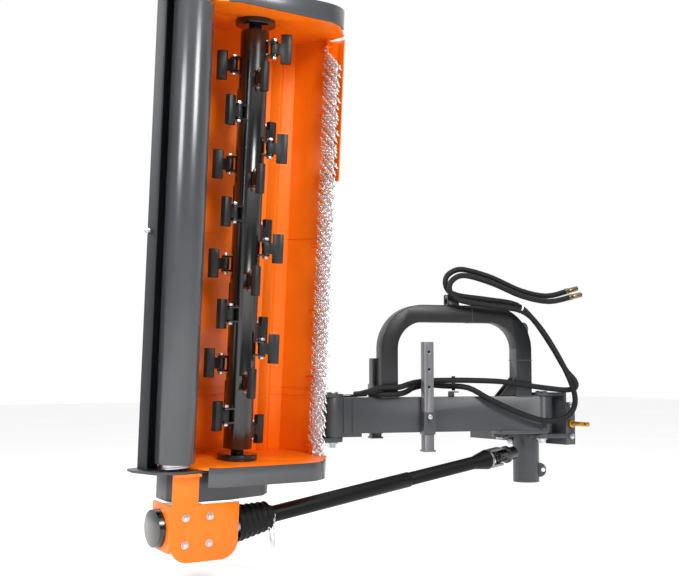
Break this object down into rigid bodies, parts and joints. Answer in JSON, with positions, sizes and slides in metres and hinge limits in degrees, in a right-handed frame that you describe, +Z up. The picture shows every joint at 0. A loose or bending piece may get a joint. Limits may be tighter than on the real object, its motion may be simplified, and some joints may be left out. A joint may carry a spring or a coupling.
{
  "type": "flail mower",
  "caption": "Side-offset verge flail mower folded up for transport: hammer rotor under a hooded head, rear roller, chain curtain, swing arm, hydraulics and three-point hitch.",
  "frame": {"origin": "middle between the two lower hitch pins, on their axis", "axes": "+X to the right of the machine that carries it, along the lower hitch pins; +Y forward; +Z up"},
  "size_m": [0.9762, 2.2543, 2.1623],
  "materials": {
    "dark_paint": "satin",
    "orange_paint": "gloss",
    "black_paint": "gloss",
    "cast": "satin",
    "zinc": "satin",
    "yellow_zinc": "satin",
    "steel": "satin",
    "chromed": "polished",
    "guard_plastic": "matte",
    "rubber": "matte"
  },
  "bodies": {
    "hitch": {"hitch_frame": "dark_paint", "swing_fork": "dark_paint", "lower_hitch_pins": "yellow_zinc", "swing_pins": "zinc", "hitch_bolts": "zinc"},
    "arm": {"swing_arm": "dark_paint", "arm_bow": "dark_paint", "leg_pins": "zinc", "hoses": "rubber", "hose_couplers": "zinc", "hose_clamps": "zinc"},
    "near_leg": {"near_leg": "dark_paint"},
    "far_leg": {"far_leg": "dark_paint"},
    "link": {"parallel_link": "dark_paint"},
    "carrier": {"carrier": "dark_paint", "carrier_pins": "zinc"},
    "swing_barrel": {"swing_barrel": "black_paint"},
    "swing_rod": {"swing_rod": "chromed"},
    "tilt_barrel": {"tilt_barrel": "black_paint"},
    "tilt_rod": {"tilt_rod": "chromed"},
    "head": {"deck": "orange_paint", "inner_end_plate": "orange_paint", "outer_end_plate": "orange_paint", "skids": "dark_paint", "skid_bolts": "zinc", "front_lip": "orange_paint", "counter_blade": "orange_paint", "chain_rod": "orange_paint", "roller_brackets": "dark_paint", "scraper": "dark_paint", "roller_bearings": "zinc", "rotor_bearings": "black_paint", "belts": "rubber", "belt_cover": "dark_paint", "gearbox_bracket": "orange_paint", "gearbox_housing": "black_paint", "gearbox_bolts": "zinc"},
    "rotor": {"rotor": "black_paint", "hammer_bolts": "zinc", "rotor_pulley": "cast"},
    "roller": {"roller": "dark_paint"},
    "curtain": {"chain_curtain": "zinc"},
    "output": {"output_shaft": "steel", "drive_pulley": "cast"},
    "input": {"input_shaft": "steel"},
    "cross": {"joint_cross": "steel"},
    "shaft": {"drive_shaft": "steel", "outer_guard": "guard_plastic", "drive_boot": "rubber"},
    "inner": {"inner_shaft": "steel", "inner_guard": "guard_plastic"},
    "tractor_cross": {"tractor_cross": "steel"},
    "tractor_yoke": {"tractor_yoke": "steel"},
    "hammers_1": {"hammers_1": "cast"},
    "hammers_2": {"hammers_2": "cast"},
    "hammers_3": {"hammers_3": "cast"},
    "hammers_4": {"hammers_4": "cast"},
    "hammers_5": {"hammers_5": "cast"},
    "hammers_6": {"hammers_6": "cast"}
  },
  "joints": [
    {"name": "swing", "type": "hinge", "parent": "hitch", "child": "arm", "pos_m": [0.25, -0.1, 0], "axis": [0, 0, 1], "range_deg": [0, 100], "deforming": ["hoses", "drive_boot"]},
    {"name": "carrier_turn", "type": "hinge", "parent": "arm", "child": "carrier", "pos_m": [-0.07292, -1.09385, 0], "axis": [0, 0, 1], "range_deg": [-100, 0]},
    {"name": "link_turn", "type": "hinge", "parent": "hitch", "child": "link", "pos_m": [0.07615, -0.20863, 0], "axis": [0, 0, 1], "range_deg": [0, 100]},
    {"name": "swing_barrel_turn", "type": "hinge", "parent": "hitch", "child": "swing_barrel", "pos_m": [-0.305, -0.09, 0.075], "axis": [0, 0, 1], "range_deg": [-3.16, 0]},
    {"name": "swing_rod_slide", "type": "slide", "parent": "swing_barrel", "child": "swing_rod", "axis": [0.9876, -0.1572, 0], "range_m": [0, 0.228]},
    {"name": "tilt", "type": "hinge", "parent": "carrier", "child": "head", "pos_m": [-0.12992, -1.71585, 0.088], "axis": [0, 1, 0], "range_deg": [0, 150]},
    {"name": "tilt_barrel_turn", "type": "hinge", "parent": "carrier", "child": "tilt_barrel", "pos_m": [-0.24492, -1.61585, 0.588], "axis": [0, 1, 0], "range_deg": [0, 4.19]},
    {"name": "tilt_rod_slide", "type": "slide", "parent": "tilt_barrel", "child": "tilt_rod", "axis": [0.3273, 0, -0.9449], "range_m": [0, 0.23866]},
    {"name": "rotor_spin", "type": "hinge", "parent": "head", "child": "rotor", "pos_m": [0.17222, -1.71585, -0.09863], "axis": [0.0732, 0, 0.9973], "continuous": true},
    {"name": "output_spin", "type": "hinge", "parent": "head", "child": "output", "pos_m": [0.23206, -1.96085, -0.10302], "axis": [0.0732, 0, 0.9973], "continuous": true},
    {"name": "roller_spin", "type": "hinge", "parent": "head", "child": "roller", "pos_m": [0.28741, -2.04585, -0.10709], "axis": [0.0732, 0, 0.9973], "continuous": true},
    {"name": "curtain_swing", "type": "hinge", "parent": "head", "child": "curtain", "pos_m": [0.12934, -1.33785, -0.09548], "axis": [0.0732, 0, 0.9973], "range_deg": [-70, 30]},
    {"name": "input_counter", "type": "hinge", "parent": "head", "child": "input", "pos_m": [0.21507, -1.67585, -0.3344], "axis": [0, 1, 0], "range_deg": [-150, 0]},
    {"name": "joint_yaw", "type": "hinge", "parent": "input", "child": "cross", "pos_m": [0.21507, -1.67585, -0.3344], "axis": [0, 0, 1], "range_deg": [0, 60], "deforming": ["drive_boot"]},
    {"name": "joint_pitch", "type": "hinge", "parent": "cross", "child": "shaft", "pos_m": [0.21507, -1.67585, -0.3344], "axis": [1, 0, 0], "range_deg": [-12, 1.5], "deforming": ["drive_boot"]},
    {"name": "telescope", "type": "slide", "parent": "shaft", "child": "inner", "axis": [0, 0.9903, 0.1392], "range_m": [-0.24, 0]},
    {"name": "tractor_yaw", "type": "hinge", "parent": "inner", "child": "tractor_cross", "pos_m": [0.21507, -0.357, -0.14905], "axis": [0, -0.1392, 0.9903], "range_deg": [-22, 22]},
    {"name": "tractor_pitch", "type": "hinge", "parent": "tractor_cross", "child": "tractor_yoke", "pos_m": [0.21507, -0.357, -0.14905], "axis": [1, 0, 0], "range_deg": [-15, 15]},
    {"name": "near_leg_slide", "type": "slide", "parent": "arm", "child": "near_leg", "axis": [0, 0, 1], "range_m": [-0.3, 0]},
    {"name": "far_leg_slide", "type": "slide", "parent": "arm", "child": "far_leg", "axis": [0, 0, 1], "range_m": [-0.2, 0]},
    {"name": "hammer_row_1", "type": "hinge", "parent": "rotor", "child": "hammers_1", "pos_m": [0.14493, -1.64068, -0.09663], "axis": [0.0732, 0, 0.9973], "range_deg": [-60, 60]},
    {"name": "hammer_row_2", "type": "hinge", "parent": "rotor", "child": "hammers_2", "pos_m": [0.09365, -1.70196, -0.09286], "axis": [0.0732, 0, 0.9973], "range_deg": [-60, 60]},
    {"name": "hammer_row_3", "type": "hinge", "parent": "rotor", "child": "hammers_3", "pos_m": [0.12094, -1.77714, -0.09486], "axis": [0.0732, 0, 0.9973], "range_deg": [-60, 60]},
    {"name": "hammer_row_4", "type": "hinge", "parent": "rotor", "child": "hammers_4", "pos_m": [0.19951, -1.79103, -0.10063], "axis": [0.0732, 0, 0.9973], "range_deg": [-60, 60]},
    {"name": "hammer_row_5", "type": "hinge", "parent": "rotor", "child": "hammers_5", "pos_m": [0.25079, -1.72975, -0.1044], "axis": [0.0732, 0, 0.9973], "range_deg": [-60, 60]},
    {"name": "hammer_row_6", "type": "hinge", "parent": "rotor", "child": "hammers_6", "pos_m": [0.22351, -1.65457, -0.1024], "axis": [0.0732, 0, 0.9973], "range_deg": [-60, 60]}
  ],
  "couplings": [
    {"joint": "carrier_turn", "follows": "swing", "ratio": -1},
    {"joint": "link_turn", "follows": "swing", "ratio": 1},
    {"joint": "swing_barrel_turn", "follows": "swing", "ratio": -0.031599},
    {"joint": "swing_rod_slide", "follows": "swing", "m_per_rad": 0.13063},
    {"joint": "joint_yaw", "follows": "swing", "ratio": 0.6},
    {"joint": "tilt_barrel_turn", "follows": "tilt", "ratio": 0.027943},
    {"joint": "tilt_rod_slide", "follows": "tilt", "m_per_rad": 0.091161},
    {"joint": "input_counter", "follows": "tilt", "ratio": -1},
    {"joint": "output_spin", "follows": "rotor_spin", "ratio": 0.83784}
  ]
}
